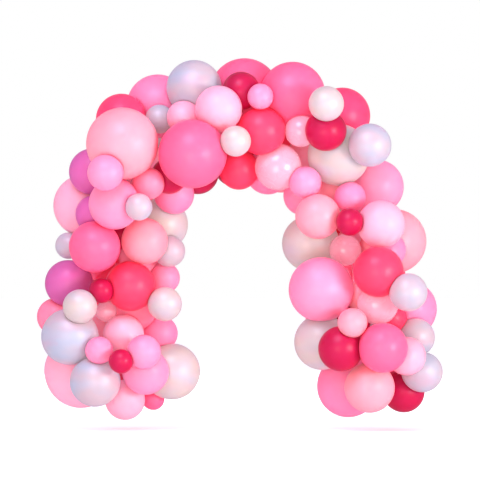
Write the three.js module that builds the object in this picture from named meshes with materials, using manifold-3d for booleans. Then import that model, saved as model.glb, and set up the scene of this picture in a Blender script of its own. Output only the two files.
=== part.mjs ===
// A balloon garland arch: latex balloons of three sizes, tied in clusters along one clear plastic strip.
// Millimetres, +Z up. X runs across the arch, and the front, with the most balloons, faces -Y.
// The origin is the middle of the strip's underside at the crown, where a wall hook carries the garland.
import * as THREE from 'three';
import { mergeVertices } from 'three/addons/utils/BufferGeometryUtils.js';
import Module from 'manifold-3d';

// How balloons press on each other and on the strip
const squeeze = 0.84; // distance between two pressed balloons, as a share of their radii together
const clearShare = 0.7; // share of the way out at which a balloon on top shows its whole outline
const stripSqueeze = 0.92; // distance from a balloon to the strip's surface, as a share of its radius
const skinGap = 0.3; // between balloons of two clusters
const tieOverlap = 0.6; // how far each balloon of a cluster runs through the plane where the two touch
const nearShare = 1.1; // balloons closer than this share of their radii together are kept apart
const settled = 1e-6; // a balloon nearer than this to its resting place isn't moved again

// The shape of one balloon
const pearLength = 0.05; // how much longer than round a balloon is towards its knot
const pearStart = 0.2; // cosine of the angle from the knot where the pear shape begins
const sameCorner = 1e-4; // corners of a ball of radius 1 that are closer than this are one
const sideways = 1e-3; // cosine below which a direction doesn't meet a flat place

// Facets by the three sizes of balloon. Corners stand out, so that the facets average the round skin.
const skins = [
  { upTo: 77, corners: 1.07, ball: () => new THREE.SphereGeometry(1, 6, 4) },
  { upTo: 114, corners: 1.06, ball: () => new THREE.SphereGeometry(1, 7, 5) },
  { upTo: Infinity, corners: 1.03, ball: () => new THREE.IcosahedronGeometry(1, 1) },
];

// The strip that the balloons are tied to, bent the easy way, so that its flat sides face in and out
const stripWidth = 15;
const stripThickness = 1.5;
const stripKeepOut = 8.5; // from the strip's middle line to any balloon
const stripReach = 13.5; // from the strip's middle line to a round balloon that rests on it
const crownFlat = 60; // the straight piece over the hook
const stripStep = 20; // spacing of the points where clearance to the strip is kept
const halfSteps = 20; // straight pieces of the strip in each half

// The strip's route from the left foot to the crown, and on to the right foot: across, up
const leftRoute = [
  [-505, -1225], [-530, -1090], [-550, -920], [-560, -740], [-555, -560], [-535, -395],
  [-495, -245], [-425, -125], [-315, -50], [-165, -10], [-crownFlat / 2, 0],
];
const rightRoute = [
  [crownFlat / 2, 0], [165, -10], [295, -50], [400, -125], [470, -245], [495, -380],
  [500, -550], [515, -720], [540, -900], [585, -1055], [645, -1180],
];

// Balloon finishes
const finishes = {
  pale: { color: 0xffc6e6, roughness: 0.32, metalness: 0 },
  lilac: { color: 0xffa6d6, roughness: 0.32, metalness: 0 },
  blush: { color: 0xffc3cf, roughness: 0.32, metalness: 0 },
  candy: { color: 0xff92c4, roughness: 0.32, metalness: 0 },
  rose: { color: 0xff78ae, roughness: 0.3, metalness: 0 },
  hot: { color: 0xff5a90, roughness: 0.3, metalness: 0 },
  salmon: { color: 0xff86a4, roughness: 0.32, metalness: 0 },
  coral: { color: 0xff5078, roughness: 0.3, metalness: 0 },
  crimson: { color: 0xd90b46, roughness: 0.28, metalness: 0 },
  orchid: { color: 0xc94aa5, roughness: 0.3, metalness: 0 },
  pearl: { color: 0xe6e1ee, roughness: 0.25, metalness: 0.3 },
  cream: { color: 0xf3e6e6, roughness: 0.28, metalness: 0.15 },
  clear: { color: 0xffb3c6, roughness: 0.22, metalness: 0 },
};
const stripFinish = { color: 0xf2f4f6, roughness: 0.2, metalness: 0 };

// The balloons by cluster, each as: across, up, radius, layer, finish.
// Layers from 0 up are laid one over the other in front of the strip, and those below 0 behind it.
const clusters = {
  left_leg_01: [
    [-715, -1085, 166, 0, 'pale'], [-615, -945, 122, -1, 'pale'],
    [-405, -925, 112, -1, 'blush'], [-515, -960, 64, -2, 'pearl'],
  ],
  left_leg_02: [[-645, -1125, 112, 2, 'pearl'], [-625, -985, 62, 4, 'lilac']],
  left_leg_03: [[-760, -925, 126, 1, 'pearl'], [-710, -790, 76, 3, 'cream']],
  left_leg_04: [
    [-515, -1210, 90, 1, 'pale'], [-420, -1080, 104, 2, 'lilac'],
    [-425, -990, 76, 3, 'lilac'],
  ],
  left_leg_05: [
    [-305, -1085, 126, 1, 'cream'], [-360, -915, 80, 0, 'candy'],
    [-390, -1210, 50, 1, 'rose'],
  ],
  left_leg_06: [[-525, -1030, 54, 4, 'crimson']],
  left_leg_07: [[-520, -920, 92, 2, 'pale']],
  left_leg_08: [
    [-490, -700, 112, 2, 'coral'], [-465, -805, 94, 1, 'salmon'],
    [-615, -720, 56, 3, 'crimson'],
  ],
  left_leg_09: [[-334, -780, 76, 3, 'cream']],
  left_leg_10: [[-600, -815, 48, 2, 'clear']],
  left_leg_11: [[-770, -690, 106, 1, 'orchid'], [-830, -840, 84, 0, 'salmon']],
  left_leg_12: [[-645, -525, 114, 2, 'rose'], [-650, -380, 84, 1, 'orchid']],
  left_leg_13: [[-425, -500, 104, 2, 'blush'], [-540, -475, 64, 0, 'crimson']],
  left_leg_14: [[-352, -424, 118, 0, 'cream'], [-315, -545, 70, 1, 'pearl']],
  left_leg_15: [[-770, -520, 60, 1, 'pearl']],
  left_leg_16: [[-450, -590, 94, 0, 'salmon'], [-340, -665, 70, 0, 'lilac']],
  left_leg_17: [[-555, -335, 114, 2, 'lilac'], [-445, -350, 60, 3, 'pearl']],
  left_leg_18: [[-520, -70, 160, 2, 'blush'], [-590, -200, 80, 3, 'lilac']],
  left_leg_19: [[-660, -190, 104, 1, 'orchid']],
  left_leg_20: [
    [-700, -340, 140, 0, 'pale'], [-605, -160, 112, -1, 'lilac'],
    [-405, -180, 112, -1, 'pale'],
  ],
  left_leg_21: [[-370, 110, 140, 0, 'candy'], [-530, 45, 114, 1, 'hot']],
  left_leg_22: [[-405, -245, 71, 1, 'salmon'], [-315, -210, 80, 1, 'crimson']],
  left_leg_23: [[-190, -195, 94, 0, 'crimson'], [-295, -290, 90, 0, 'candy']],
  left_leg_24: [[-530, -1145, 126, -1, 'rose']],
  left_leg_25: [[-540, -740, 130, -1, 'coral'], [-635, -575, 116, -1, 'rose']],
  left_leg_26: [[-430, -550, 116, -1, 'lilac'], [-530, -560, 64, -2, 'crimson']],
  left_leg_27: [[-510, -352, 126, -1, 'rose'], [-505, -225, 58, -2, 'pearl']],
  crown_01: [[-205, 185, 124, 1, 'pearl'], [-250, 50, 76, 2, 'pale'], [-360, 45, 64, 1, 'pearl']],
  crown_02: [[-210, -115, 152, 3, 'rose'], [-20, -60, 68, 4, 'cream']],
  crown_03: [[-95, 85, 104, 2, 'pale'], [5, 170, 84, 1, 'crimson'], [90, 140, 58, 3, 'lilac']],
  crown_04: [[20, 165, 158, 0, 'rose'], [235, 155, 146, 1, 'rose']],
  crown_05: [[95, -10, 108, 2, 'coral'], [170, -170, 104, 1, 'clear']],
  crown_06: [[-5, -180, 90, 1, 'coral'], [125, -190, 100, 0, 'candy'], [-20, -155, 100, -1, 'crimson']],
  crown_07: [[380, -10, 92, 3, 'crimson'], [270, -10, 72, 2, 'clear'], [380, 105, 78, 4, 'cream']],
  crown_08: [[460, 65, 126, 0, 'hot'], [310, 90, 108, -1, 'rose'], [340, -90, 116, -1, 'pale']],
  crown_09: [[440, -115, 138, 1, 'cream'], [575, -75, 96, 2, 'pearl']],
  crown_10: [[-425, 20, 112, -1, 'pearl'], [-215, -90, 122, -1, 'rose'], [-305, -25, 64, -2, 'cream']],
  crown_11: [[-235, 115, 108, -1, 'blush'], [-55, 50, 116, -1, 'lilac']],
  crown_12: [[145, 10, 116, -1, 'coral'], [245, -45, 58, -2, 'pearl'], [45, -55, 64, -2, 'crimson']],
  crown_13: [[185, -180, 100, -1, 'blush']],
  crown_14: [[505, -45, 108, -1, 'lilac']],
  right_leg_01: [[285, -295, 90, 0, 'lilac'], [424, -277, 76, 0, 'blush'], [490, -305, 70, 2, 'candy']],
  right_leg_02: [[345, -390, 100, 3, 'blush'], [290, -240, 72, 2, 'lilac']],
  right_leg_03: [[625, -425, 106, 2, 'pale'], [485, -415, 62, 4, 'crimson'], [660, -540, 80, 1, 'candy']],
  right_leg_04: [[615, -255, 122, 0, 'lilac'], [640, -245, 100, -1, 'rose']],
  right_leg_05: [
    [695, -500, 144, 0, 'blush'], [560, -460, 126, -1, 'pale'],
    [460, -655, 122, -1, 'rose'], [475, -450, 64, -2, 'crimson'],
  ],
  right_leg_06: [[610, -635, 112, 3, 'coral'], [740, -725, 84, 4, 'pearl']],
  right_leg_07: [[315, -510, 126, 0, 'cream'], [470, -540, 72, 2, 'clear']],
  right_leg_08: [[360, -715, 144, 3, 'lilac'], [530, -745, 64, 1, 'blush'], [610, -780, 92, 2, 'clear']],
  right_leg_09: [[445, -975, 100, 2, 'crimson'], [495, -860, 66, 4, 'blush']],
  right_leg_10: [[785, -930, 86, 1, 'pearl'], [675, -845, 72, 1, 'coral'], [815, -1085, 90, 1, 'pearl']],
  right_leg_11: [[365, -950, 124, 1, 'cream'], [495, -845, 94, 0, 'crimson']],
  right_leg_12: [
    [760, -805, 126, 0, 'candy'], [705, -1000, 122, -1, 'rose'],
    [735, -1175, 94, 1, 'crimson'],
  ],
  right_leg_13: [[630, -970, 110, 3, 'rose'], [740, -1010, 86, 2, 'pale']],
  right_leg_14: [[485, -1150, 140, 0, 'candy'], [575, -1150, 112, 2, 'blush']],
  right_leg_15: [[450, -270, 122, -1, 'cream'], [360, -460, 108, -1, 'coral']],
  right_leg_16: [
    [645, -665, 108, -1, 'coral'], [575, -845, 116, -1, 'pearl'],
    [560, -750, 64, -2, 'cream'],
  ],
  right_leg_17: [[405, -865, 108, -1, 'blush']],
  right_leg_18: [
    [485, -1045, 122, -1, 'rose'], [630, -1150, 94, -1, 'lilac'],
    [595, -970, 64, -2, 'crimson'],
  ],
};

// The strip's middle line in the plane of the arch, with the crown's straight piece between its halves
function stripLine() {
  const half = (route) => {
    const points = route.map(([across, up]) => new THREE.Vector3(across, 0, up + stripThickness / 2));
    return new THREE.CatmullRomCurve3(points, false, 'centripetal').getSpacedPoints(halfSteps);
  };
  return [...half(leftRoute), ...half(rightRoute)];
}

// Points every few centimetres along the strip, where balloons keep clear of it
function stripSamples() {
  const line = stripLine();
  const samples = [line[0]];
  for (let i = 1; i < line.length; i++) {
    const pieces = Math.ceil(line[i].distanceTo(line[i - 1]) / stripStep);
    for (let k = 1; k <= pieces; k++) {
      samples.push(line[i - 1].clone().lerp(line[i], k / pieces));
    }
  }
  return samples;
}

// How far out a balloon must lie to press on what is this far across from it, or 0 if it passes beside it
function stackedOffset(across, reach) {
  return across < reach ? Math.sqrt(reach * reach - across * across) : 0;
}

// Every balloon as an object, at its place in the plane of the arch
function listBalloons() {
  const balloons = [];
  for (const [cluster, rows] of Object.entries(clusters)) {
    for (const [across, up, radius, layer, finish] of rows) {
      balloons.push({ cluster, radius, layer, finish, centre: new THREE.Vector3(across, 0, up) });
    }
  }
  return balloons;
}

// Distance in the plane of the arch
function spacing(a, b) {
  return Math.hypot(a.x - b.x, a.z - b.z);
}

// Lays the balloons one after the other, the big ones of a layer first, as far back as they can go
function settle(balloons, samples) {
  const inPlace = [];
  const laid = (side) => balloons.filter(side).sort((a, b) => {
    return Math.abs(a.layer) - Math.abs(b.layer) || b.radius - a.radius;
  });
  for (const balloon of laid(({ layer }) => layer >= 0)) {
    const toStrip = Math.min(...samples.map((point) => spacing(point, balloon.centre)));
    let out = stackedOffset(toStrip, balloon.radius * stripSqueeze + stripReach);
    for (const other of inPlace) {
      const across = spacing(balloon.centre, other.centre);
      const together = balloon.radius + other.radius;
      const lift = stackedOffset(across, together * squeeze);
      if (lift > 0) out = Math.max(out, lift - other.centre.y);
      if (across < together && balloon.layer > other.layer) {
        const whole = stackedOffset(across - balloon.radius, other.radius);
        out = Math.max(out, whole * clearShare - other.centre.y);
      }
    }
    balloon.centre.y = -out;
    inPlace.push(balloon);
  }
  for (const balloon of laid(({ layer }) => layer < 0)) {
    const toStrip = Math.min(...samples.map((point) => spacing(point, balloon.centre)));
    let back = stackedOffset(toStrip, balloon.radius * stripSqueeze + stripReach);
    let moved = true;
    while (moved) {
      moved = false;
      for (const other of inPlace) {
        const together = (balloon.radius + other.radius) * squeeze;
        const lift = stackedOffset(spacing(balloon.centre, other.centre), together);
        if (Math.abs(back - other.centre.y) < lift - settled) {
          back = other.centre.y + lift;
          moved = true;
        }
      }
    }
    balloon.centre.y = back;
    inPlace.push(balloon);
  }
}

// The flat places of a balloon: a direction from its centre, and how far the skin may go that way
function flats(balloon, balloons, samples) {
  const planes = [];
  for (const other of balloons) {
    const way = other.centre.clone().sub(balloon.centre);
    const distance = way.length();
    if (other === balloon || distance > (balloon.radius + other.radius) * nearShare) continue;
    const middle = (distance ** 2 + balloon.radius ** 2 - other.radius ** 2) / (2 * distance);
    const tied = other.cluster === balloon.cluster;
    planes.push({ way: way.normalize(), limit: middle + (tied ? tieOverlap : -skinGap / 2) });
  }
  for (const point of samples) {
    const way = point.clone().sub(balloon.centre);
    const distance = way.length();
    if (distance > balloon.radius * nearShare + stripKeepOut) continue;
    planes.push({ way: way.normalize(), limit: distance - stripKeepOut });
  }
  return planes;
}

// The direction from a balloon's centre to the nearest of some points
function nearestWay(balloon, points) {
  const ways = points.map((point) => point.clone().sub(balloon.centre));
  return ways.reduce((best, way) => (way.length() < best.length() ? way : best)).clone().normalize();
}

// One balloon's faceted skin about its own centre: pear shaped towards the knot, flat where it presses.
// One corner of the facets points at the balloon that it is tied to.
function balloonSkin(balloon, balloons, samples) {
  const size = skins.find(({ upTo }) => balloon.radius <= upTo);
  const ball = size.ball();
  ball.deleteAttribute('normal');
  ball.deleteAttribute('uv');
  const skin = mergeVertices(ball, sameCorner);
  const corners = skin.getAttribute('position');
  const knot = nearestWay(balloon, samples);
  const mates = balloons.filter((other) => other !== balloon && other.cluster === balloon.cluster);
  const pointed = mates.length > 0 ? nearestWay(balloon, mates.map(({ centre }) => centre)) : knot;
  const turn = new THREE.Quaternion();
  turn.setFromUnitVectors(new THREE.Vector3().fromBufferAttribute(corners, 0).normalize(), pointed);
  const planes = flats(balloon, balloons, samples);
  for (let i = 0; i < corners.count; i++) {
    const way = new THREE.Vector3().fromBufferAttribute(corners, i).normalize().applyQuaternion(turn);
    const pear = Math.max(0, (way.dot(knot) - pearStart) / (1 - pearStart));
    let length = balloon.radius * size.corners * (1 + pearLength * pear ** 2);
    for (const plane of planes) {
      const along = way.dot(plane.way);
      if (along > sideways) length = Math.min(length, plane.limit / along);
    }
    corners.setXYZ(i, way.x * length, way.y * length, way.z * length);
  }
  return skin;
}

// The strip: one thin band along its line, flat sides in and out of the arch
function stripBand() {
  const line = stripLine();
  const outer = [];
  const inner = [];
  line.forEach((point, i) => {
    const before = line[Math.max(i - 1, 0)];
    const after = line[Math.min(i + 1, line.length - 1)];
    const along = after.clone().sub(before);
    const level = Math.abs(point.x) <= crownFlat / 2 + settled;
    const side = level ? new THREE.Vector2(0, 1) : new THREE.Vector2(-along.z, along.x).normalize();
    side.multiplyScalar(stripThickness / 2);
    outer.push(new THREE.Vector2(point.x, point.z).add(side));
    inner.push(new THREE.Vector2(point.x, point.z).sub(side));
  });
  const band = new THREE.Shape([...outer, ...inner.reverse()]);
  const solid = new THREE.ExtrudeGeometry(band, { depth: stripWidth, bevelEnabled: false, steps: 1 });
  solid.rotateX(Math.PI / 2);
  solid.translate(0, stripWidth / 2, 0);
  return solid;
}

const wasm = await Module();
wasm.setup();

// A closed surface as a solid for joining
function toSolid(geometry) {
  const vertProperties = new Float32Array(geometry.getAttribute('position').array);
  const triVerts = new Uint32Array(geometry.getIndex().array);
  return new wasm.Manifold(new wasm.Mesh({ numProp: 3, vertProperties, triVerts }));
}

// A joined solid as a surface again
function toGeometry(solid) {
  const { vertProperties, triVerts } = solid.getMesh();
  const geometry = new THREE.BufferGeometry();
  geometry.setAttribute('position', new THREE.BufferAttribute(vertProperties, 3));
  geometry.setIndex(new THREE.BufferAttribute(triVerts, 1));
  geometry.computeVertexNormals();
  return geometry;
}

// One cluster of tied balloons, placed by the centre of its first balloon
function clusterMesh(name, balloons, samples) {
  const tied = balloons.filter(({ cluster }) => cluster === name);
  const origin = tied[0].centre;
  const parts = tied.map((balloon) => {
    const offset = balloon.centre.clone().sub(origin);
    return toSolid(balloonSkin(balloon, balloons, samples).translate(offset.x, offset.y, offset.z));
  });
  const joined = parts.reduce((whole, skin) => whole.add(skin));
  const finish = new THREE.MeshStandardMaterial(finishes[tied[0].finish]);
  const mesh = new THREE.Mesh(toGeometry(joined), finish);
  mesh.name = name;
  mesh.position.copy(origin);
  return mesh;
}

const samples = stripSamples();
const balloons = listBalloons();
settle(balloons, samples);

const garland = new THREE.Group();
garland.name = 'balloon_garland_arch';
for (const name of Object.keys(clusters)) {
  garland.add(clusterMesh(name, balloons, samples));
}
const strip = new THREE.Mesh(stripBand(), new THREE.MeshStandardMaterial(stripFinish));
strip.name = 'balloon_strip';
garland.add(strip);

export default garland;
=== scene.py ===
"""The looks of a balloon garland arch: 130 latex balloons pressed together round a clear punched strip.

Metres, +Z up. X runs across the arch, and the front faces -Y. The origin is the middle of the strip's
underside at the crown, where a wall hook carries the garland. The table of balloons is in millimetres.
"""

import logging
import math
from collections.abc import Mapping, Sequence
from dataclasses import dataclass, field
from enum import Enum

import bmesh
import bpy
import numpy as np
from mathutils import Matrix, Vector


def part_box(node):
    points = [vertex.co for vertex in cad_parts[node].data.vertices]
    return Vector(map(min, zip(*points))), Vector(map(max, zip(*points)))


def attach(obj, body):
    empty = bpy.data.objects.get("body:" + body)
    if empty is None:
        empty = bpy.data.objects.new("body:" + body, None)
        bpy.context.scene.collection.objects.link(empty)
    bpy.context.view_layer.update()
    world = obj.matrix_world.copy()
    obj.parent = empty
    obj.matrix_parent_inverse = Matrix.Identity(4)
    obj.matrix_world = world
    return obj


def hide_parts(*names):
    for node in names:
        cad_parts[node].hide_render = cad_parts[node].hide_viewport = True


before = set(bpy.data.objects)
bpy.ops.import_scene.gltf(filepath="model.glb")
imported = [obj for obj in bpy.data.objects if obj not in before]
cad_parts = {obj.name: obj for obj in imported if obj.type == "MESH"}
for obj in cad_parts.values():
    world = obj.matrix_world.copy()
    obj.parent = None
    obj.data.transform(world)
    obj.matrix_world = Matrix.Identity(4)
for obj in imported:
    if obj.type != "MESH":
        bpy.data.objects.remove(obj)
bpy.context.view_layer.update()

Colour = tuple[float, float, float]
Place = tuple[float, float, float]
Row = tuple[int, int, int, int, "Skin"]
Settings = Mapping[str, object] | None
Values = Mapping[str | int, object] | None

MM = 0.001
BODY = "root"
SEED = 7581

# Numbers kept on the meshes for the finishes: how thick the latex is, and a tone for each balloon
THICK = "thick"
BATCH = "batch"

# How balloons press on each other and on the strip, as in the solids
SQUEEZE = 0.84  # distance between two pressed balloons, as a share of both radii
CLEAR_SHARE = 0.7  # share of the way out at which a balloon on top shows its whole outline
STRIP_SQUEEZE = 0.92  # share of its radius to which the strip presses a balloon
STRIP_REACH = 13.5 * MM  # what the strip adds to that
STRIP_KEEP_OUT = 8.5 * MM  # how close a skin comes to the strip's middle line
STRIP_STEP = 20 * MM  # distance between the points of that line
SKIN_GAP = 0.8 * MM  # gap between two skins that press on each other

# How far a cluster's balloons may reach past their solid, which is faceted and has no knots
NODE_TOLERANCE = 30 * MM

log = logging.getLogger("balloon_garland")


class Skin(Enum):
    """The kinds of balloon, each with the name of its material slot."""

    PALE = "pale_lilac_latex"
    LILAC = "lilac_pink_latex"
    BLUSH = "blush_pink_latex"
    CANDY = "candy_pink_latex"
    ROSE = "rose_pink_latex"
    HOT = "hot_pink_latex"
    SALMON = "salmon_pink_latex"
    CORAL = "coral_red_latex"
    CRIMSON = "crimson_latex"
    ORCHID = "orchid_latex"
    PEARL = "pearl_latex"
    CREAM = "cream_pearl_latex"
    CLEAR = "clear_pink_latex"


PALE, LILAC, BLUSH, CANDY, ROSE, HOT, SALMON, CORAL, CRIMSON, ORCHID, PEARL, CREAM, CLEAR = Skin

# The balloons by cluster, in millimetres, each as: across, up, radius, layer, skin.
# Layers from 0 up are laid one over the other in front of the strip, and those below 0 behind it.
CLUSTERS: dict[str, list[Row]] = {
    "left_leg_01": [
        (-715, -1085, 166, 0, PALE), (-615, -945, 122, -1, PALE),
        (-405, -925, 112, -1, BLUSH), (-515, -960, 64, -2, PEARL),
    ],
    "left_leg_02": [(-645, -1125, 112, 2, PEARL), (-625, -985, 62, 4, LILAC)],
    "left_leg_03": [(-760, -925, 126, 1, PEARL), (-710, -790, 76, 3, CREAM)],
    "left_leg_04": [
        (-515, -1210, 90, 1, PALE), (-420, -1080, 104, 2, LILAC), (-425, -990, 76, 3, LILAC),
    ],
    "left_leg_05": [
        (-305, -1085, 126, 1, CREAM), (-360, -915, 80, 0, CANDY), (-390, -1210, 50, 1, ROSE),
    ],
    "left_leg_06": [(-525, -1030, 54, 4, CRIMSON)],
    "left_leg_07": [(-520, -920, 92, 2, PALE)],
    "left_leg_08": [
        (-490, -700, 112, 2, CORAL), (-465, -805, 94, 1, SALMON), (-615, -720, 56, 3, CRIMSON),
    ],
    "left_leg_09": [(-334, -780, 76, 3, CREAM)],
    "left_leg_10": [(-600, -815, 48, 2, CLEAR)],
    "left_leg_11": [(-770, -690, 106, 1, ORCHID), (-830, -840, 84, 0, SALMON)],
    "left_leg_12": [(-645, -525, 114, 2, ROSE), (-650, -380, 84, 1, ORCHID)],
    "left_leg_13": [(-425, -500, 104, 2, BLUSH), (-540, -475, 64, 0, CRIMSON)],
    "left_leg_14": [(-352, -424, 118, 0, CREAM), (-315, -545, 70, 1, PEARL)],
    "left_leg_15": [(-770, -520, 60, 1, PEARL)],
    "left_leg_16": [(-450, -590, 94, 0, SALMON), (-340, -665, 70, 0, LILAC)],
    "left_leg_17": [(-555, -335, 114, 2, LILAC), (-445, -350, 60, 3, PEARL)],
    "left_leg_18": [(-520, -70, 160, 2, BLUSH), (-590, -200, 80, 3, LILAC)],
    "left_leg_19": [(-660, -190, 104, 1, ORCHID)],
    "left_leg_20": [
        (-700, -340, 140, 0, PALE), (-605, -160, 112, -1, LILAC), (-405, -180, 112, -1, PALE),
    ],
    "left_leg_21": [(-370, 110, 140, 0, CANDY), (-530, 45, 114, 1, HOT)],
    "left_leg_22": [(-405, -245, 71, 1, SALMON), (-315, -210, 80, 1, CRIMSON)],
    "left_leg_23": [(-190, -195, 94, 0, CRIMSON), (-295, -290, 90, 0, CANDY)],
    "left_leg_24": [(-530, -1145, 126, -1, ROSE)],
    "left_leg_25": [(-540, -740, 130, -1, CORAL), (-635, -575, 116, -1, ROSE)],
    "left_leg_26": [(-430, -550, 116, -1, LILAC), (-530, -560, 64, -2, CRIMSON)],
    "left_leg_27": [(-510, -352, 126, -1, ROSE), (-505, -225, 58, -2, PEARL)],
    "crown_01": [(-205, 185, 124, 1, PEARL), (-250, 50, 76, 2, PALE), (-360, 45, 64, 1, PEARL)],
    "crown_02": [(-210, -115, 152, 3, ROSE), (-20, -60, 68, 4, CREAM)],
    "crown_03": [(-95, 85, 104, 2, PALE), (5, 170, 84, 1, CRIMSON), (90, 140, 58, 3, LILAC)],
    "crown_04": [(20, 165, 158, 0, ROSE), (235, 155, 146, 1, ROSE)],
    "crown_05": [(95, -10, 108, 2, CORAL), (170, -170, 104, 1, CLEAR)],
    "crown_06": [(-5, -180, 90, 1, CORAL), (125, -190, 100, 0, CANDY), (-20, -155, 100, -1, CRIMSON)],
    "crown_07": [(380, -10, 92, 3, CRIMSON), (270, -10, 72, 2, CLEAR), (380, 105, 78, 4, CREAM)],
    "crown_08": [(460, 65, 126, 0, HOT), (310, 90, 108, -1, ROSE), (340, -90, 116, -1, PALE)],
    "crown_09": [(440, -115, 138, 1, CREAM), (575, -75, 96, 2, PEARL)],
    "crown_10": [(-425, 20, 112, -1, PEARL), (-215, -90, 122, -1, ROSE), (-305, -25, 64, -2, CREAM)],
    "crown_11": [(-235, 115, 108, -1, BLUSH), (-55, 50, 116, -1, LILAC)],
    "crown_12": [(145, 10, 116, -1, CORAL), (245, -45, 58, -2, PEARL), (45, -55, 64, -2, CRIMSON)],
    "crown_13": [(185, -180, 100, -1, BLUSH)],
    "crown_14": [(505, -45, 108, -1, LILAC)],
    "right_leg_01": [(285, -295, 90, 0, LILAC), (424, -277, 76, 0, BLUSH), (490, -305, 70, 2, CANDY)],
    "right_leg_02": [(345, -390, 100, 3, BLUSH), (290, -240, 72, 2, LILAC)],
    "right_leg_03": [
        (625, -425, 106, 2, PALE), (485, -415, 62, 4, CRIMSON), (660, -540, 80, 1, CANDY),
    ],
    "right_leg_04": [(615, -255, 122, 0, LILAC), (640, -245, 100, -1, ROSE)],
    "right_leg_05": [
        (695, -500, 144, 0, BLUSH), (560, -460, 126, -1, PALE),
        (460, -655, 122, -1, ROSE), (475, -450, 64, -2, CRIMSON),
    ],
    "right_leg_06": [(610, -635, 112, 3, CORAL), (740, -725, 84, 4, PEARL)],
    "right_leg_07": [(315, -510, 126, 0, CREAM), (470, -540, 72, 2, CLEAR)],
    "right_leg_08": [(360, -715, 144, 3, LILAC), (530, -745, 64, 1, BLUSH), (610, -780, 92, 2, CLEAR)],
    "right_leg_09": [(445, -975, 100, 2, CRIMSON), (495, -860, 66, 4, BLUSH)],
    "right_leg_10": [(785, -930, 86, 1, PEARL), (675, -845, 72, 1, CORAL), (815, -1085, 90, 1, PEARL)],
    "right_leg_11": [(365, -950, 124, 1, CREAM), (495, -845, 94, 0, CRIMSON)],
    "right_leg_12": [
        (760, -805, 126, 0, CANDY), (705, -1000, 122, -1, ROSE), (735, -1175, 94, 1, CRIMSON),
    ],
    "right_leg_13": [(630, -970, 110, 3, ROSE), (740, -1010, 86, 2, PALE)],
    "right_leg_14": [(485, -1150, 140, 0, CANDY), (575, -1150, 112, 2, BLUSH)],
    "right_leg_15": [(450, -270, 122, -1, CREAM), (360, -460, 108, -1, CORAL)],
    "right_leg_16": [
        (645, -665, 108, -1, CORAL), (575, -845, 116, -1, PEARL), (560, -750, 64, -2, CREAM),
    ],
    "right_leg_17": [(405, -865, 108, -1, BLUSH)],
    "right_leg_18": [
        (485, -1045, 122, -1, ROSE), (630, -1150, 94, -1, LILAC), (595, -970, 64, -2, CRIMSON),
    ],
}

# The strip's route in millimetres, over the crown from left to right: across, up
LEFT_ROUTE = [
    (-505, -1225), (-530, -1090), (-550, -920), (-560, -740), (-555, -560), (-535, -395),
    (-495, -245), (-425, -125), (-315, -50), (-165, -10), (-30, 0),
]
RIGHT_ROUTE = [
    (30, 0), (165, -10), (295, -50), (400, -125), (470, -245), (495, -380),
    (500, -550), (515, -720), (540, -900), (585, -1055), (645, -1180),
]


def opaque(colour: Colour) -> tuple[float, float, float, float]:
    """A colour with full alpha."""
    return (*colour, 1.0)


def linked(name: str, data: bpy.types.ID) -> bpy.types.Object:
    """A new object in the scene.

    Args:
        name: Its name.
        data: Its mesh, light or camera.

    Returns:
        The object.
    """
    made = bpy.data.objects.new(name, data)
    bpy.context.scene.collection.objects.link(made)
    return made


class Signal:
    """One output socket of a shader node, usable in Python expressions."""

    NOISE_MEAN = 0.5

    def __init__(self, tree: "ShaderTree", socket: bpy.types.NodeSocket) -> None:
        """Wraps an output socket of a node tree."""
        self.tree = tree
        self.socket = socket

    def sway(self, amount: float) -> "Signal":
        """How far a noise is above its mean, times an amount."""
        return (self - self.NOISE_MEAN) * amount

    def _math(self, operation: str, first: "Signal | float", second: "Signal | float") -> "Signal":
        """What a Math node makes of two values."""
        return self.tree.node("ShaderNodeMath", {"operation": operation}, {0: first, 1: second})

    def __add__(self, other: "Signal | float") -> "Signal":
        """Self plus other."""
        return self._math("ADD", self, other)

    def __radd__(self, other: float) -> "Signal":
        """Other plus self."""
        return self._math("ADD", other, self)

    def __sub__(self, other: "Signal | float") -> "Signal":
        """Self minus other."""
        return self._math("SUBTRACT", self, other)

    def __rsub__(self, other: float) -> "Signal":
        """Other minus self."""
        return self._math("SUBTRACT", other, self)

    def __mul__(self, other: "Signal | float") -> "Signal":
        """Self times other."""
        return self._math("MULTIPLY", self, other)

    def __rmul__(self, other: float) -> "Signal":
        """Other times self."""
        return self._math("MULTIPLY", other, self)


class ShaderTree:
    """A node tree, built from Python expressions."""

    def __init__(self, tree: bpy.types.NodeTree) -> None:
        """Empties the tree of a material or of the world."""
        self.tree = tree
        tree.nodes.clear()

    def add(self, kind: str, settings: Settings = None, values: Values = None) -> bpy.types.Node:
        """Adds one node.

        Args:
            kind: The node's type.
            settings: Its own settings, which are set first.
            values: What goes into its sockets: a Signal is linked, and anything else is set.

        Returns:
            The node.
        """
        made = self.tree.nodes.new(kind)
        for key, value in (settings or {}).items():
            setattr(made, key, value)
        for key, value in (values or {}).items():
            if isinstance(value, Signal):
                self.tree.links.new(value.socket, made.inputs[key])
            else:
                made.inputs[key].default_value = value
        return made

    def node(
        self, kind: str, settings: Settings = None, values: Values = None, output: str | int = 0,
    ) -> Signal:
        """Adds one node, as add does, and hands on one of its output sockets."""
        return Signal(self, self.add(kind, settings, values).outputs[output])


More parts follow.
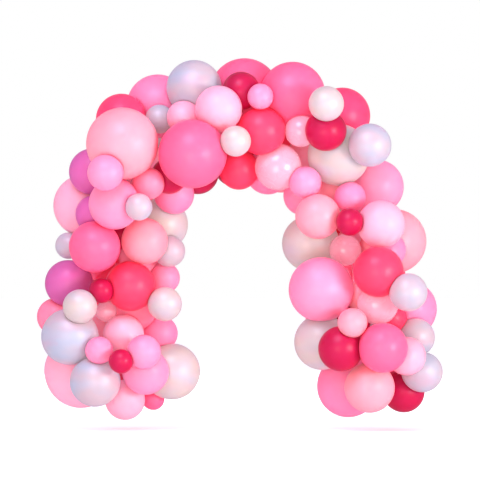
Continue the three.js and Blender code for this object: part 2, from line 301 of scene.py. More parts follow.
class Paint(ShaderTree):
    """A material's node tree."""

    # Sockets of a Mix node that mixes colours
    FACTOR, FIRST, SECOND, RESULT = 0, 6, 7, 2

    def __init__(self, name: str) -> None:
        """Starts an empty material.

        Args:
            name: The material's name.
        """
        self.material = bpy.data.materials.new(name)
        self.material.use_nodes = True
        super().__init__(self.material.node_tree)

    def place(self) -> Signal:
        """Where on the piece a point is, in metres."""
        return self.node("ShaderNodeTexCoord", output="Object")

    def attribute(self, name: str) -> Signal:
        """A number stored on the mesh, by its name."""
        return self.node("ShaderNodeAttribute", {"attribute_name": name}, output="Fac")

    def mix(self, factor: Signal | float, first: object, second: object) -> Signal:
        """The first colour with a share of the second, each a Signal or a tuple of four."""
        values = {self.FACTOR: factor, self.FIRST: first, self.SECOND: second}
        return self.node("ShaderNodeMix", {"data_type": "RGBA"}, values, self.RESULT)

    def noise(self, place: Signal, scale: float, detail: float = 2.0, rough: float = 0.5) -> Signal:
        """Soft noise from 0 to 1, by its waves in a metre, its finer layers and their strength."""
        values = {"Vector": place, "Scale": scale, "Detail": detail, "Roughness": rough}
        return self.node("ShaderNodeTexNoise", None, values)

    def bump(self, height: Signal, depth: float, strength: float) -> Signal:
        """The normal of a surface that a height roughens, where depth is what a height of 1 is."""
        values = {"Strength": strength, "Distance": depth, "Height": height}
        return self.node("ShaderNodeBump", None, values)

    def finish(self, values: Values) -> bpy.types.Material:
        """Adds the surface shader and the output.

        Args:
            values: What goes into the Principled shader's sockets.

        Returns:
            The finished material.
        """
        surface = self.node("ShaderNodeBsdfPrincipled", None, values)
        self.add("ShaderNodeOutputMaterial", None, {"Surface": surface})
        return self.material


@dataclass(frozen=True)
class LatexFinish:
    """Stretched latex: a coloured, slightly see-through skin with a soft gloss, and a painted glow that
    lightens its shade.
    """

    skin: Skin
    colour: Colour
    deep: Colour
    tint: Colour
    roughness: float = 0.4
    scatter: float = 0.7
    mottle: float = 0.8
    batch_drift: float = 0.5
    darkest: float = 0.93
    lightest: float = 1.07
    # Painted glow: light that the skin gives off in its own colour, which lightens the shade between
    # balloons
    painted_glow: float = 0.16

    def material(self) -> bpy.types.Material:
        """The finish as a material.

        Returns:
            A material whose colour deepens where the latex is thick, near the knot, and which glows in its
            own colour as painted light that lightens the shade between balloons.
        """
        paint = Paint(self.skin.value)
        place = paint.place()
        broad = paint.noise(place, scale=7.0, detail=1.0)
        haze = paint.noise(place, scale=34.0, detail=3.0)
        grain = paint.noise(place, scale=900.0)
        thick = paint.attribute(THICK)
        drift = broad.sway(self.mottle) + paint.attribute(BATCH).sway(self.batch_drift)
        toned = paint.mix(
            drift + 0.5, opaque(self._under(self.darkest)), opaque(self._under(self.lightest)),
        )
        colour = paint.mix(thick, toned, opaque(self.deep))
        return paint.finish({
            "Base Color": colour,
            "Roughness": self.roughness + haze.sway(0.12) + thick * 0.1,
            "Normal": paint.bump(grain + haze * 2.0, depth=0.6 * MM, strength=0.06),
            "Subsurface Weight": self.scatter,
            "Subsurface Radius": (1.0, 0.35, 0.5),
            "Subsurface Scale": 0.07,
            "Specular IOR Level": 0.4,
            # Painted glow in the skin's own colour, which lightens the shade in the crevices
            "Emission Color": colour,
            "Emission Strength": self.painted_glow,
            "Coat Weight": 1.0,
            "Coat IOR": 1.2,
            "Coat Roughness": 0.34,
            "Coat Tint": opaque(self.tint),
        })

    def _under(self, share: float) -> Colour:
        """The colour under the tinted coat that shows as a share of the wanted one."""
        return tuple(min(1.0, c * share / tint) for c, tint in zip(self.colour, self.tint, strict=True))


@dataclass(frozen=True)
class PearlFinish:
    """Pearlised latex: pale and satin, with drifts of a cool and a warm tone, the cool one also a painted
    sheen, and a painted glow.
    """

    skin: Skin
    colour: Colour
    cool_sheen: Colour
    warm: Colour
    tint: Colour
    metallic: float = 0.1
    roughness: float = 0.46
    # Painted glow: light that the skin gives off in its own colour, which lightens its shaded side and
    # contact shadows
    painted_glow: float = 0.36
    # How the noise is stretched into the bands of the painted sheen
    sheen_band_stretch: tuple[float, float, float] = (0.8, 0.8, 1.6)
    cool_sheen_from: float = 0.4
    cool_sheen_gain: float = 3.2
    warm_gain: float = 2.0
    haze_gain: float = 0.5

    def material(self) -> bpy.types.Material:
        """The finish as a material.

        Returns:
            A satin material with slow drifts of colour, whose cool drifts are also a painted sheen, a fine
            grain of pigment and a painted glow.
        """
        paint = Paint(self.skin.value)
        place = paint.place()
        # The cool, bluish drifts, stretched into bands, are swirls of pigment and also a painted sheen
        drawn = paint.node("ShaderNodeMapping", None, {"Vector": place, "Scale": self.sheen_band_stretch})
        cool_sheen = paint.noise(drawn, scale=7.0, detail=1.0)
        warm = paint.noise(drawn, scale=10.0, detail=1.0, rough=0.6)
        haze = paint.noise(place, scale=24.0)
        grain = paint.noise(place, scale=500.0)
        thick = paint.attribute(THICK)
        mist = haze.sway(self.haze_gain)
        cool_sheen_share = (cool_sheen - self.cool_sheen_from) * self.cool_sheen_gain + mist
        toned = paint.mix(cool_sheen_share, opaque(self.colour), opaque(self.cool_sheen))
        tinted = paint.mix(warm.sway(self.warm_gain) + mist, toned, opaque(self.warm))
        colour = paint.mix(thick * 0.6, tinted, opaque(self.warm))
        return paint.finish({
            "Base Color": colour,
            "Roughness": self.roughness + cool_sheen.sway(0.2) + haze.sway(0.1) + grain.sway(0.08),
            "Normal": paint.bump(grain + haze * 4.0, depth=0.8 * MM, strength=0.1),
            "Metallic": self.metallic,
            "Subsurface Weight": 0.6,
            "Subsurface Radius": (1.0, 0.6, 0.7),
            "Subsurface Scale": 0.06,
            # Painted glow in the skin's own colour, which lightens its shade
            "Emission Color": colour,
            "Emission Strength": self.painted_glow,
            "Coat Weight": 0.9,
            "Coat IOR": 1.42,
            "Coat Roughness": 0.42,
            "Coat Tint": opaque(self.tint),
        })


@dataclass(frozen=True)
class ClearFinish:
    """Clear tinted latex, see-through with a bright gloss and a painted glow."""

    skin: Skin
    colour: Colour
    deep: Colour
    alpha: float

    def material(self) -> bpy.types.Material:
        """The finish as a material.

        Returns:
            A thin see-through skin, stronger in colour near the knot, with a painted glow that lightens
            the shade seen through it.
        """
        paint = Paint(self.skin.value)
        haze = paint.noise(paint.place(), scale=22.0)
        thick = paint.attribute(THICK)
        colour = paint.mix(thick + haze.sway(0.3), opaque(self.colour), opaque(self.deep))
        return paint.finish({
            "Base Color": colour,
            "Roughness": 0.26 + haze.sway(0.14),
            "Alpha": self.alpha + thick * (1 - self.alpha),
            "Specular IOR Level": 0.8,
            # Painted glow in the skin's own colour, which lightens the shade seen through it
            "Emission Color": colour,
            "Emission Strength": 0.3,
            "Coat Weight": 1.0,
            "Coat Roughness": 0.2,
        })


@dataclass(frozen=True)
class StripFinish:
    """Clear flexible plastic, faintly cloudy."""

    slot: str = "clear_strip"
    colour: Colour = (0.8388, 0.8879, 0.9216)
    cloudy: Colour = (0.6724, 0.7605, 0.8388)

    def material(self) -> bpy.types.Material:
        """The finish as a material.

        Returns:
            A glassy plastic with a fine grain.
        """
        paint = Paint(self.slot)
        place = paint.place()
        cloud = paint.noise(place, scale=60.0, detail=3.0)
        grain = paint.noise(place, scale=700.0, detail=1.0)
        return paint.finish({
            "Base Color": paint.mix(cloud, opaque(self.colour), opaque(self.cloudy)),
            "Roughness": 0.16 + cloud * 0.14,
            "Normal": paint.bump(grain, depth=0.4 * MM, strength=0.15),
            "Transmission Weight": 0.75,
            "IOR": 1.48,
        })


# Latex: the colour that shows, the colour at the knot and the coat's tint. Pearl: the main colour, its
# cool drift, also a painted sheen, its warm drift and the coat's tint. Clear: the colour, the colour at
# the knot and its alpha.
FINISHES: list[LatexFinish | PearlFinish | ClearFinish] = [
    LatexFinish(PALE, (0.84, 0.350, 0.445), (0.80, 0.20, 0.38), (1.0, 0.86, 0.93)),
    LatexFinish(LILAC, (0.84, 0.243, 0.378), (0.80, 0.13, 0.28), (1.0, 0.80, 0.92)),
    LatexFinish(BLUSH, (0.84, 0.285, 0.336), (0.82, 0.17, 0.22), (1.0, 0.84, 0.88)),
    LatexFinish(CANDY, (0.84, 0.212, 0.358), (0.74, 0.06, 0.18), (1.0, 0.76, 0.88)),
    LatexFinish(ROSE, (0.84, 0.114, 0.228), (0.72, 0.03, 0.10), (1.0, 0.70, 0.84)),
    LatexFinish(HOT, (0.84, 0.050, 0.134), (0.68, 0.015, 0.05), (1.0, 0.64, 0.76)),
    LatexFinish(SALMON, (0.82, 0.205, 0.300), (0.72, 0.04, 0.08), (1.0, 0.74, 0.8)),
    LatexFinish(CORAL, (0.80, 0.044, 0.106), (0.62, 0.010, 0.035), (1.0, 0.62, 0.72)),
    LatexFinish(CRIMSON, (0.41, 0.005, 0.055), (0.32, 0.002, 0.02), (0.92, 0.5, 0.62)),
    LatexFinish(ORCHID, (0.53, 0.112, 0.31), (0.36, 0.02, 0.16), (0.9, 0.66, 0.84)),
    PearlFinish(
        PEARL, (0.440, 0.365, 0.385), (0.345, 0.385, 0.455), (0.475, 0.300, 0.370), (0.98, 0.92, 0.96),
    ),
    PearlFinish(
        CREAM, (0.475, 0.420, 0.380), (0.420, 0.395, 0.440), (0.515, 0.370, 0.370), (0.98, 0.93, 0.95),
    ),
    ClearFinish(CLEAR, (0.82, 0.385, 0.480), (0.80, 0.22, 0.34), 0.66),
]


def spline_points(points: np.ndarray, samples: int) -> np.ndarray:
    """A smooth centripetal curve through some points.

    Args:
        points: The points, one to a row.
        samples: How many samples each stretch between two points has.

    Returns:
        The samples from the first point to the last.
    """
    padded = np.vstack([2 * points[0] - points[1], points, 2 * points[-1] - points[-2]])
    steps = np.sqrt(np.linalg.norm(np.diff(padded, axis=0), axis=1))
    drawn = [points[:1]]
    for i in range(1, len(padded) - 2):
        before, start, end, after = padded[i - 1:i + 3]
        left, span, right = steps[i - 1:i + 2]
        leave = (start - before) / left - (end - before) / (left + span) + (end - start) / span
        arrive = (end - start) / span - (after - start) / (span + right) + (after - end) / right
        t = np.linspace(0, 1, samples + 1)[1:, None]
        drawn.append(
            (2 * t**3 - 3 * t**2 + 1) * start + (t**3 - 2 * t**2 + t) * span * leave
            + (3 * t**2 - 2 * t**3) * end + (t**3 - t**2) * span * arrive
        )
    return np.vstack(drawn)


def evenly(points: np.ndarray, pieces: int) -> np.ndarray:
    """Points at even distances along a line of points.

    Args:
        points: The line.
        pieces: How many pieces it is cut into.

    Returns:
        One point more than there are pieces.
    """
    lengths = np.concatenate([[0.0], np.cumsum(np.linalg.norm(np.diff(points, axis=0), axis=1))])
    wanted = np.linspace(0, lengths[-1], pieces + 1)
    return np.column_stack([np.interp(wanted, lengths, points[:, k]) for k in range(points.shape[1])])


@dataclass
class Strip:
    """The clear strip that the balloons are tied to, punched with pairs of holes."""

    name: str = "punched_balloon_strip"
    width: float = 15 * MM
    thickness: float = 1.5 * MM
    route_samples: int = 24  # samples between two points of the route
    half_steps: int = 20  # straight lengths of each half, as in the solid
    cell: float = 12.5 * MM
    hole: float = 3.4 * MM
    small_hole: float = 2.4 * MM
    hole_sides: int = 12
    weld: float = 0.2 * MM

    def line(self) -> np.ndarray:
        """The strip's middle line.

        Returns:
            Points from the left foot over the crown to the right foot.
        """
        halves = []
        for route in (LEFT_ROUTE, RIGHT_ROUTE):
            flat = np.array([(x * MM, 0.0, z * MM + self.thickness / 2) for x, z in route])
            halves.append(evenly(spline_points(flat, self.route_samples), self.half_steps))
        return np.vstack(halves)

    def samples(self) -> np.ndarray:
        """Points every two centimetres or less along the strip, where balloons keep clear of it.

        Returns:
            The points.
        """
        line = self.line()
        found = [line[:1]]
        for start, end in zip(line, line[1:], strict=False):
            pieces = math.ceil(np.linalg.norm(end - start) / STRIP_STEP)
            found.append(start + (end - start) * np.arange(1, pieces + 1)[:, None] / pieces)
        return np.vstack(found)

    def build(self) -> bpy.types.Object:
        """Makes the strip with its holes.

        Returns:
            The strip as one closed mesh.
        """
        line = self.line()
        length = float(np.linalg.norm(np.diff(line, axis=0), axis=1).sum())
        cells = round(length / self.cell)
        centres = evenly(line, cells)
        mesh = bmesh.new()
        for i in range(cells):
            hole = self.hole if i % 2 else self.small_hole
            self._cell(mesh, centres[i], centres[i + 1], hole, i == 0, i == cells - 1)
        bmesh.ops.remove_doubles(mesh, verts=mesh.verts, dist=self.weld)
        bmesh.ops.recalc_face_normals(mesh, faces=mesh.faces)
        data = bpy.data.meshes.new(self.name)
        mesh.to_mesh(data)
        mesh.free()
        return linked(self.name, data)

    def _cell(
        self, mesh: bmesh.types.BMesh, start: np.ndarray, end: np.ndarray, hole: float,
        first: bool, last: bool,
    ) -> None:
        """Adds one length of strip with one round hole, open where the next length meets it.

        Args:
            mesh: The mesh that it goes into.
            start: Middle of its first edge.
            end: Middle of its last edge.
            hole: The hole's radius.
            first: Whether it closes the strip's first end.
            last: Whether it closes the strip's last end.
        """
        middle, along = (start + end) / 2, (end - start) / 2
        forward = along / np.linalg.norm(along)
        sideways = np.array((0.0, 1.0, 0.0))
        across = sideways * self.width / 2
        up = np.cross(forward, sideways) * self.thickness / 2
        angles = math.tau * (np.arange(self.hole_sides) + 0.5) / self.hole_sides
        layers = []
        for side in (-1, 1):
            edge, rim = [], []
            for cos, sin in zip(np.cos(angles), np.sin(angles), strict=True):
                reach = 1 / max(abs(cos), abs(sin))
                edge.append(mesh.verts.new(middle + (along * cos + across * sin) * reach + up * side))
                rim.append(mesh.verts.new(middle + (forward * cos + sideways * sin) * hole + up * side))
            layers.append((edge, rim))
        (low, low_rim), (high, high_rim) = layers
        for k in range(self.hole_sides):
            after = (k + 1) % self.hole_sides
            mesh.faces.new([low[k], low[after], low_rim[after], low_rim[k]])
            mesh.faces.new([high[k], high[after], high_rim[after], high_rim[k]])
            mesh.faces.new([low_rim[k], low_rim[after], high_rim[after], high_rim[k]])
            turn = math.tau * (k + 1) / self.hole_sides
            ahead, aside = math.cos(turn), math.sin(turn)
            if abs(aside) > abs(ahead) or (first and ahead < 0) or (last and ahead > 0):
                mesh.faces.new([low[k], low[after], high[after], high[k]])


@dataclass
class Balloon:
    """One latex balloon: its size and place, and how its knot is turned."""

    name: str
    cluster: str
    radius: float
    layer: int
    skin: Skin
    centre: np.ndarray
    knot_way: np.ndarray = field(default_factory=lambda: np.array((0.0, 1.0, 0.0)))
    knot_scale: float = 1.0

    PEAR = 0.05  # how much longer it is towards the knot, as a share of its radius
    PEAR_START = 0.2  # where that begins, as the cosine of the angle to the knot
    SOFTNESS = 0.022  # roundness of the edge of a contact, as a share of its radius
    NEAR = 1.06  # distance within which two balloons are looked at, as a share of both radii
    STRIP_NEAR = 1.1  # the same for the strip, as a share of its radius
    FIRMNESS = 1.5  # how much a smaller balloon bulges into a bigger one
    FRONT_FIRMNESS = 0.35  # how much one in front bulges into one behind
    MOST_BULGE = 0.85  # most of the room there that a bulge takes up

    def contacts(self, others: Sequence["Balloon"], strip: np.ndarray) -> list["Contact"]:
        """The places where the balloon presses on others and on the strip.

        A small balloon is the firmer one, so it bulges into a bigger one, and so does one laid on top.

        Args:
            others: All balloons.
            strip: Points along the strip.

        Returns:
            The contacts, seen from the balloon's centre.
        """
        found = []
        for other in others:
            way = other.centre - self.centre
            distance = float(np.linalg.norm(way))
            if other is self or distance > (self.radius + other.radius) * self.NEAR:
                continue
            middle = (distance**2 + self.radius**2 - other.radius**2) / (2 * distance)
            firm = self.FIRMNESS * math.log(other.radius / self.radius)
            firm += self.FRONT_FIRMNESS * float(way[1]) / distance
            firm = min(max(firm, -self.MOST_BULGE), self.MOST_BULGE)
            room = self.radius - middle if firm > 0 else other.radius - (distance - middle)
            found.append(Contact(way / distance, middle, max(room, 0.0) * firm, self.radius, SKIN_GAP / 2))
        toward = strip - self.centre
        far = np.linalg.norm(toward, axis=1)
        for k in np.flatnonzero(far < self.radius * self.STRIP_NEAR + STRIP_KEEP_OUT):
            found.append(Contact(toward[k] / far[k], far[k] - STRIP_KEEP_OUT, 0.0, self.radius, 0.0))
        return found

    def reach(self, ways: np.ndarray, contacts: Sequence["Contact"]) -> np.ndarray:
        """How far the skin is from the centre.

        Args:
            ways: Directions, one to a row.
            contacts: The places where it presses.

        Returns:
            The distance in each direction, with soft edges round the contacts.
        """
        pear = np.clip((ways @ self.knot_way - self.PEAR_START) / (1 - self.PEAR_START), 0, None)
        free = self.radius * (1 + self.PEAR * pear**2)
        soft = self.radius * self.SOFTNESS
        met = np.column_stack([free, *(contact.limit(ways) for contact in contacts)])
        least = met.min(axis=1)
        return least - soft * np.log(np.exp(-(met - least[:, None]) / soft).sum(axis=1))


@dataclass(frozen=True)
class Contact:
    """Where a balloon presses on something: a flat or curved wall across the line to it."""

    way: np.ndarray
    distance: float
    bulge: float
    radius: float
    gap: float

    SIDEWAYS = 0.05  # cosine of the angle up to which the wall is met
    FLAT = 0.2 * MM  # bulge under which the wall counts as flat

    def limit(self, ways: np.ndarray) -> np.ndarray:
        """How far the balloon's skin may go before it meets the wall.

        Args:
            ways: Directions from the balloon's centre, one to a row.

        Returns:
            The distance in each direction, endless where the wall isn't met.
        """
        along = ways @ self.way
        rim = math.sqrt(max(self.radius**2 - self.distance**2, 0.0))
        if abs(self.bulge) < self.FLAT or rim < abs(self.bulge):
            level = self.distance - self.gap
            return np.where(along > self.SIDEWAYS, level / np.maximum(along, self.SIDEWAYS), np.inf)
        side = math.copysign(1.0, self.bulge)
        curve = (rim**2 + self.bulge**2) / (2 * abs(self.bulge))
        middle = self.distance + self.bulge - side * curve
        curve -= side * self.gap
        inside = curve**2 - middle**2 * (1 - along**2)
        met = middle * along + side * np.sqrt(np.maximum(inside, 0.0))
        return np.where((inside > 0) & (along > self.SIDEWAYS), met, np.inf)


@dataclass
class KnotShape:
    """The neck, knot and rolled lip at a balloon's tied end, as rings round its axis."""

    neck: float = 5.0 * MM
    knot: float = 7.5 * MM
    lip: float = 6.5 * MM
    length: float = 24 * MM

    def rings(self, start: float, scale: float) -> list[tuple[float, float]]:
        """The outline from the body's last ring to the lip.

        Args:
            start: Radius of the body's last ring.
            scale: Share of full size.

        Returns:
            Radius and distance outward of each ring.
        """
        # Each ring's radius, and its distance outward as a share of the length
        outline = [
            (start * 0.62 + self.neck * 0.38, 0.10), (start * 0.3 + self.neck * 0.7, 0.20),
            (self.neck, 0.32), (self.knot * 0.92, 0.40), (self.knot, 0.48), (self.knot * 0.8, 0.57),
            (self.neck * 0.62, 0.63), (self.neck * 0.7, 0.74), (self.lip * 0.86, 0.90),
            (self.lip, 0.96), (self.lip * 0.93, 1.0), (self.lip * 0.7, 0.98), (self.neck * 0.5, 0.82),
        ]
        return [(radius * scale if i > 1 else radius, share * self.length * scale)
                for i, (radius, share) in enumerate(outline)]


@dataclass
class BalloonMaker:
    """Turns balloons into meshes, all from one finely divided sphere."""

    divisions: int = 5
    thick_start: float = 0.9
    knot: KnotShape = field(default_factory=KnotShape)
    ways: np.ndarray = field(init=False)
    faces: list[tuple[int, ...]] = field(init=False)
    mouth: list[int] = field(init=False)

    def __post_init__(self) -> None:
        """Divides the sphere, and opens it at the pole where the knot goes."""
        mesh = bmesh.new()
        bmesh.ops.create_icosphere(mesh, subdivisions=self.divisions, radius=1.0)
        mesh.verts.ensure_lookup_table()
        pole = max(mesh.verts, key=lambda v: v.co.z)
        first = {e.other_vert(pole) for e in pole.link_edges}
        bmesh.ops.delete(mesh, geom=[pole, *first], context="VERTS")
        mesh.verts.index_update()
        mesh.verts.ensure_lookup_table()
        self.ways = np.array([v.co.normalized() for v in mesh.verts])
        self.faces = [tuple(v.index for v in f.verts) for f in mesh.faces]
        rim = [v for v in mesh.verts if v.is_boundary]
        self.mouth = [v.index for v in sorted(rim, key=lambda v: math.atan2(v.co.y, v.co.x))]
        mesh.free()

    def build(self, balloon: Balloon, contacts: Sequence[Contact]) -> bpy.types.Object:
        """Makes one balloon.

        Args:
            balloon: The balloon.
            contacts: The places where it presses on others.

        Returns:
            The balloon as one closed mesh.
        """
        turn = Vector((0, 0, 1)).rotation_difference(Vector(balloon.knot_way)).to_matrix()
        ways = self.ways @ np.array(turn).T
        reach = balloon.reach(ways, contacts)
        body = balloon.centre + ways * reach[:, None]
        points, faces = [body], list(self.faces)
        near = (ways @ balloon.knot_way - self.thick_start) / (1 - self.thick_start)
        thick = np.clip(near, 0, 1) ** 2
        rim = body[self.mouth]
        middle = rim.mean(axis=0)
        lengths = np.linalg.norm(rim - middle, axis=1)
        spokes = (rim - middle) / lengths[:, None]
        count, last = len(self.mouth), self.mouth
        total = len(body)
        for radius, outward in self.knot.rings(float(lengths.mean()), balloon.knot_scale):
            points.append(middle + spokes * radius + balloon.knot_way * outward)
            these = list(range(total, total + count))
            faces += [(last[k], last[(k + 1) % count], these[(k + 1) % count], these[k])
                      for k in range(count)]
            last = these
            total += count
        points.append((middle + balloon.knot_way * outward)[None])
        faces += [(last[k], last[(k + 1) % count], total) for k in range(count)]
        data = bpy.data.meshes.new(balloon.name)
        data.from_pydata(np.vstack(points).tolist(), [], faces)
        data.shade_smooth()
        self.store(data, THICK, np.concatenate([thick, np.ones(total + 1 - len(body))]))
        return linked(balloon.name, data)

    @staticmethod
    def store(data: bpy.types.Mesh, name: str, values: np.ndarray) -> None:
        """Keeps one number for each vertex, for the finish to read."""
        data.attributes.new(name, "FLOAT", "POINT").data.foreach_set("value", values.astype(np.float32))


@dataclass
class KnotTurner:
    """Turns each balloon's knot towards the strip, into the widest gap there, and sizes it to fit."""

    balloons: list[Balloon]
    samples: np.ndarray
    tries: int = 400
    inward: float = 0.35  # cosine of the widest angle between a knot and the way to the strip
    length: float = 20 * MM
    shares: tuple[float, float] = (0.4, 1.0)  # where along a knot its room is measured
    swell: float = 1.03  # where a knot begins, as a share of the radius
    enough_room: float = 12 * MM
    inward_worth: float = 6 * MM  # how much room a knot gives up to point at the strip
    full_size_room: float = 9 * MM
    least_size: float = 0.35
    usual_radius: float = 110 * MM  # radius of a balloon whose knot is of full size
    usual_sizes: tuple[float, float] = (0.7, 1.15)

    def turn(self) -> None:
        """Takes the best of many directions for each balloon."""
        sphere = self._sphere()
        for i, balloon in enumerate(self.balloons):
            toward = self.samples - balloon.centre
            nearest = toward[np.linalg.norm(toward, axis=1).argmin()]
            nearest = nearest / np.linalg.norm(nearest)
            ways = sphere[sphere @ nearest > self.inward]
            room = self._room(i, ways)
            score = np.minimum(room, self.enough_room) + self.inward_worth * (ways @ nearest)
            best = int(score.argmax())
            fit = float(np.clip(room[best] / self.full_size_room, self.least_size, 1.0))
            usual = float(np.clip(math.sqrt(balloon.radius / self.usual_radius), *self.usual_sizes))
            balloon.knot_way, balloon.knot_scale = ways[best], fit * usual

    def _sphere(self) -> np.ndarray:
        """Directions spread evenly over a sphere.

        Returns:
            The directions, wound round the vertical by the golden angle.
        """
        golden_angle = math.pi * (3 - math.sqrt(5))
        heights = 1 - 2 * (np.arange(self.tries) + 0.5) / self.tries
        rounds = np.sqrt(1 - heights**2)
        angles = np.arange(self.tries) * golden_angle
        return np.column_stack([rounds * np.cos(angles), rounds * np.sin(angles), heights])

    def _room(self, index: int, ways: np.ndarray) -> np.ndarray:
        """How much room a knot has in each direction.

        Args:
            index: Which balloon it is.
            ways: The directions, one to a row.

        Returns:
            The distance from the knot's middle or end to the nearest other skin or the strip.
        """
        balloon = self.balloons[index]
        others = [b for i, b in enumerate(self.balloons) if i != index]
        centres = np.array([b.centre for b in others])
        radii = np.array([b.radius for b in others])
        room = np.full(len(ways), np.inf)
        for share in self.shares:
            points = balloon.centre + ways * (balloon.radius * self.swell + self.length * share)
            gaps = np.linalg.norm(points[:, None] - centres, axis=2) - radii
            strip = np.linalg.norm(points[:, None] - self.samples, axis=2) - STRIP_KEEP_OUT
            room = np.minimum(room, np.minimum(gaps.min(axis=1), strip.min(axis=1)))
        return room


@dataclass
class Garland:
    """All balloons round the strip, laid one by one: front row, the ones on top, then those behind."""

    strip: Strip = field(default_factory=Strip)
    maker: BalloonMaker = field(default_factory=BalloonMaker)
    balloons: list[Balloon] = field(init=False)
    samples: np.ndarray = field(init=False)

    ROUNDING = 1e-9

    def __post_init__(self) -> None:
        """Lists the balloons and settles them."""
        self.samples = self.strip.samples()
        self.balloons = [
            Balloon(f"{cluster}_balloon_{i}", cluster, radius * MM, layer, skin,
                    np.array((across * MM, 0.0, up * MM)))
            for cluster, rows in CLUSTERS.items()
            for i, (across, up, radius, layer, skin) in enumerate(rows, 1)
        ]
        self._settle()
        KnotTurner(self.balloons, self.samples).turn()

    def _settle(self) -> None:
        """Lays the balloons in front of the strip, and then those behind it."""
        settled: list[Balloon] = []
        for balloon in self._laid(front=True):
            balloon.centre[1] = -self._out(balloon, settled)
            settled.append(balloon)
        for balloon in self._laid(front=False):
            balloon.centre[1] = self._back(balloon, settled)
            settled.append(balloon)

    def _out(self, balloon: Balloon, settled: Sequence[Balloon]) -> float:
        """How far in front of the strip a balloon comes to rest.

        Args:
            balloon: The balloon.
            settled: The balloons that already lie there.

        Returns:
            Its centre's distance from the strip's plane.
        """
        out = self._off_strip(balloon)
        for other in settled:
            across = self._spacing(balloon, other)
            together = balloon.radius + other.radius
            lift = self._lift(across, together * SQUEEZE)
            if lift > 0:
                out = max(out, lift - other.centre[1])
            if across < together and balloon.layer > other.layer:
                whole = self._lift(across - balloon.radius, other.radius)
                out = max(out, whole * CLEAR_SHARE - other.centre[1])
        return out

    def _back(self, balloon: Balloon, settled: Sequence[Balloon]) -> float:
        """How far behind the strip a balloon finds room.

        Args:
            balloon: The balloon.
            settled: The balloons that already lie there.

        Returns:
            Its centre's distance from the strip's plane.
        """
        back = self._off_strip(balloon)
        moved = True
        while moved:
            moved = False
            for other in settled:
                together = (balloon.radius + other.radius) * SQUEEZE
                lift = self._lift(self._spacing(balloon, other), together)
                if abs(back - other.centre[1]) < lift - self.ROUNDING:
                    back = other.centre[1] + lift
                    moved = True
        return back

    def _laid(self, front: bool) -> list[Balloon]:
        """One side's balloons in the order in which they are laid, the big ones of a layer first."""
        side = [b for b in self.balloons if (b.layer >= 0) == front]
        return sorted(side, key=lambda b: (abs(b.layer), -round(b.radius / MM)))

    def _off_strip(self, balloon: Balloon) -> float:
        """How far from the strip's plane a balloon rests on the strip, or 0 beside it."""
        near = np.linalg.norm(self.samples[:, [0, 2]] - balloon.centre[[0, 2]], axis=1).min()
        return self._lift(float(near), balloon.radius * STRIP_SQUEEZE + STRIP_REACH)

    @staticmethod
    def _spacing(first: Balloon, second: Balloon) -> float:
        """Distance of two balloons in the plane of the arch."""
        return math.hypot(*(first.centre - second.centre)[[0, 2]])

    @staticmethod
    def _lift(across: float, reach: float) -> float:
        """How far out of the plane a balloon must lie to press on another, or 0."""
        return math.sqrt(reach**2 - across**2) if across < reach else 0.0

    def dress(self) -> None:
        """Builds and finishes every balloon and the strip."""
        draw = np.random.default_rng(SEED)
        finishes = {finish.skin: finish.material() for finish in FINISHES}
        for balloon in self.balloons:
            piece = self.maker.build(balloon, balloon.contacts(self.balloons, self.samples))
            count = len(piece.data.vertices)
            self.maker.store(piece.data, BATCH, np.full(count, draw.random()))
            piece.data.materials.append(finishes[balloon.skin])
            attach(piece, BODY)
            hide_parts(balloon.cluster)
            log.info("%s: %s, %.0f mm", balloon.name, balloon.skin.value, 2 * balloon.radius / MM)
        self._check_places()
        strip = self.strip.build()
        strip.data.materials.append(StripFinish().material())
        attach(strip, BODY)
        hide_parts("balloon_strip")
        log.info("%s: %d faces", strip.name, len(strip.data.polygons))

    def _check_places(self) -> None:
        """Stops the script where a cluster isn't where its solid is.

        Raises:
            ValueError: A cluster's balloons reach further than its solid.
        """
        for cluster in CLUSTERS:
            tied = [b for b in self.balloons if b.cluster == cluster]
            low = np.min([b.centre - b.radius for b in tied], axis=0)
            high = np.max([b.centre + b.radius for b in tied], axis=0)
            box = np.array(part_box(cluster))
            off = np.abs(np.array([low, high]) - box).max()
            if off > NODE_TOLERANCE:
                raise ValueError(f"{cluster} is {off / MM:.0f} mm from its solid")


@dataclass(frozen=True)
class Lamp:
    """One round soft light that the camera doesn't see."""

    name: str
    place: Place
    size: float
    power: float
    colour: Colour
    diffuse: bool = True
    glossy: bool = True

    def build(self, target: Vector) -> None:
        """Adds the light, aimed at a point.

        Args:
            target: The point.
        """
        data = bpy.data.lights.new(self.name, "AREA")
        data.shape, data.size, data.energy, data.color = "DISK", self.size, self.power, self.colour
        light = linked(self.name, data)
        light.location = self.place
        light.rotation_euler = (target - Vector(self.place)).to_track_quat("-Z", "Y").to_euler()
        light.visible_camera = False
        light.visible_diffuse, light.visible_glossy = self.diffuse, self.glossy


# Each as: name, place, diameter, watts, colour, and whether it lights surfaces or is mirrored in them.
# The main light is in two parts, so that its mirror image is weaker than what it lights.
LAMPS = [
    Lamp("key", (5.8, -5.6, -0.75), 2.6, 660, (1.0, 0.97, 0.96), glossy=False),
    Lamp("shine", (5.8, -5.6, -0.6), 3.0, 430, (1.0, 0.97, 0.96), diffuse=False),
    Lamp("top", (-1.2, -4.0, 4.2), 3.2, 250, (0.68, 0.70, 1.0)),
    Lamp("low", (-0.8, -4.6, -1.25), 2.4, 90, (1.0, 0.76, 0.66)),
    Lamp("back", (-1.5, 7.0, 1.2), 3.0, 240, (1.0, 0.97, 0.98), glossy=False),
]


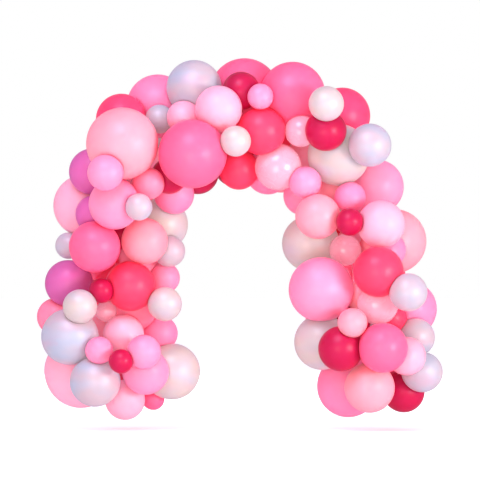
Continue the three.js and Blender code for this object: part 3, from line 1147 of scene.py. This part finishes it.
@dataclass
class Studio:
    """A pale floor, soft lights and the camera, straight in front of the arch."""

    floor_height: float = -1.345
    floor_radius: float = 40.0
    floor_sides: int = 96
    floor_colour: Colour = (0.93, 0.925, 0.925)
    floor_glow: float = 0.3
    lens: float = 300.0
    sensor: float = 36.0
    frame_width: float = 2.16
    frame_centre: float = -0.495
    sight: float = 100.0
    seen: Colour = (1.0, 1.0, 1.0)
    lit: Colour = (0.82, 0.79, 0.88)
    mirrored: Colour = (0.42, 0.34, 0.42)

    def build(self) -> None:
        """Sets up the floor, the world, the lights and the camera."""
        self._floor()
        self._world()
        for lamp in LAMPS:
            lamp.build(Vector((0, 0, self.frame_centre)))
        self._camera()
        scene = bpy.context.scene
        scene.view_settings.view_transform = "Standard"
        scene.view_settings.look = "None"

    def _floor(self) -> None:
        """Lays a wide round floor just under the lowest balloons."""
        mesh = bmesh.new()
        bmesh.ops.create_circle(mesh, cap_ends=True, radius=self.floor_radius, segments=self.floor_sides)
        bmesh.ops.translate(mesh, verts=mesh.verts, vec=(0, 0, self.floor_height))
        data = bpy.data.meshes.new("floor")
        mesh.to_mesh(data)
        mesh.free()
        floor = linked("floor", data)
        data.materials.append(Paint("floor_paint").finish({
            "Base Color": opaque(self.floor_colour), "Roughness": 0.9, "Specular IOR Level": 0.1,
            "Emission Color": opaque(self.seen), "Emission Strength": self.floor_glow,
        }))
        floor.visible_glossy = False

    def _world(self) -> None:
        """White all round to look at, dimmer as a light, and pink and dim in what is mirrored."""
        world = bpy.data.worlds.new("studio")
        bpy.context.scene.world = world
        world.use_nodes = True
        tree = ShaderTree(world.node_tree)
        shown = self._background(tree, self.lit)
        for rays, colour in (("Is Glossy Ray", self.mirrored), ("Is Camera Ray", self.seen)):
            chosen = tree.node("ShaderNodeLightPath", output=rays)
            values = {"Fac": chosen, 1: shown, 2: self._background(tree, colour)}
            shown = tree.node("ShaderNodeMixShader", None, values)
        tree.add("ShaderNodeOutputWorld", None, {"Surface": shown})

    @staticmethod
    def _background(tree: ShaderTree, colour: Colour) -> Signal:
        """A Background shader of one colour."""
        return tree.node("ShaderNodeBackground", None, {"Color": opaque(colour)})

    def _camera(self) -> None:
        """Stands the camera straight in front, far off with a long lens."""
        data = bpy.data.cameras.new("camera")
        data.lens, data.sensor_width, data.sensor_fit = self.lens, self.sensor, "HORIZONTAL"
        data.clip_end = self.sight
        camera = linked("camera", data)
        camera.location = (0, -self.frame_width * self.lens / self.sensor, self.frame_centre)
        camera.rotation_euler = (math.pi / 2, 0, 0)
        bpy.context.scene.camera = camera


def main() -> None:
    """Builds the studio and the garland, and reports each piece."""
    logging.basicConfig(level=logging.INFO, format="%(message)s")
    Studio().build()
    Garland().dress()


if __name__ == "__main__":
    main()
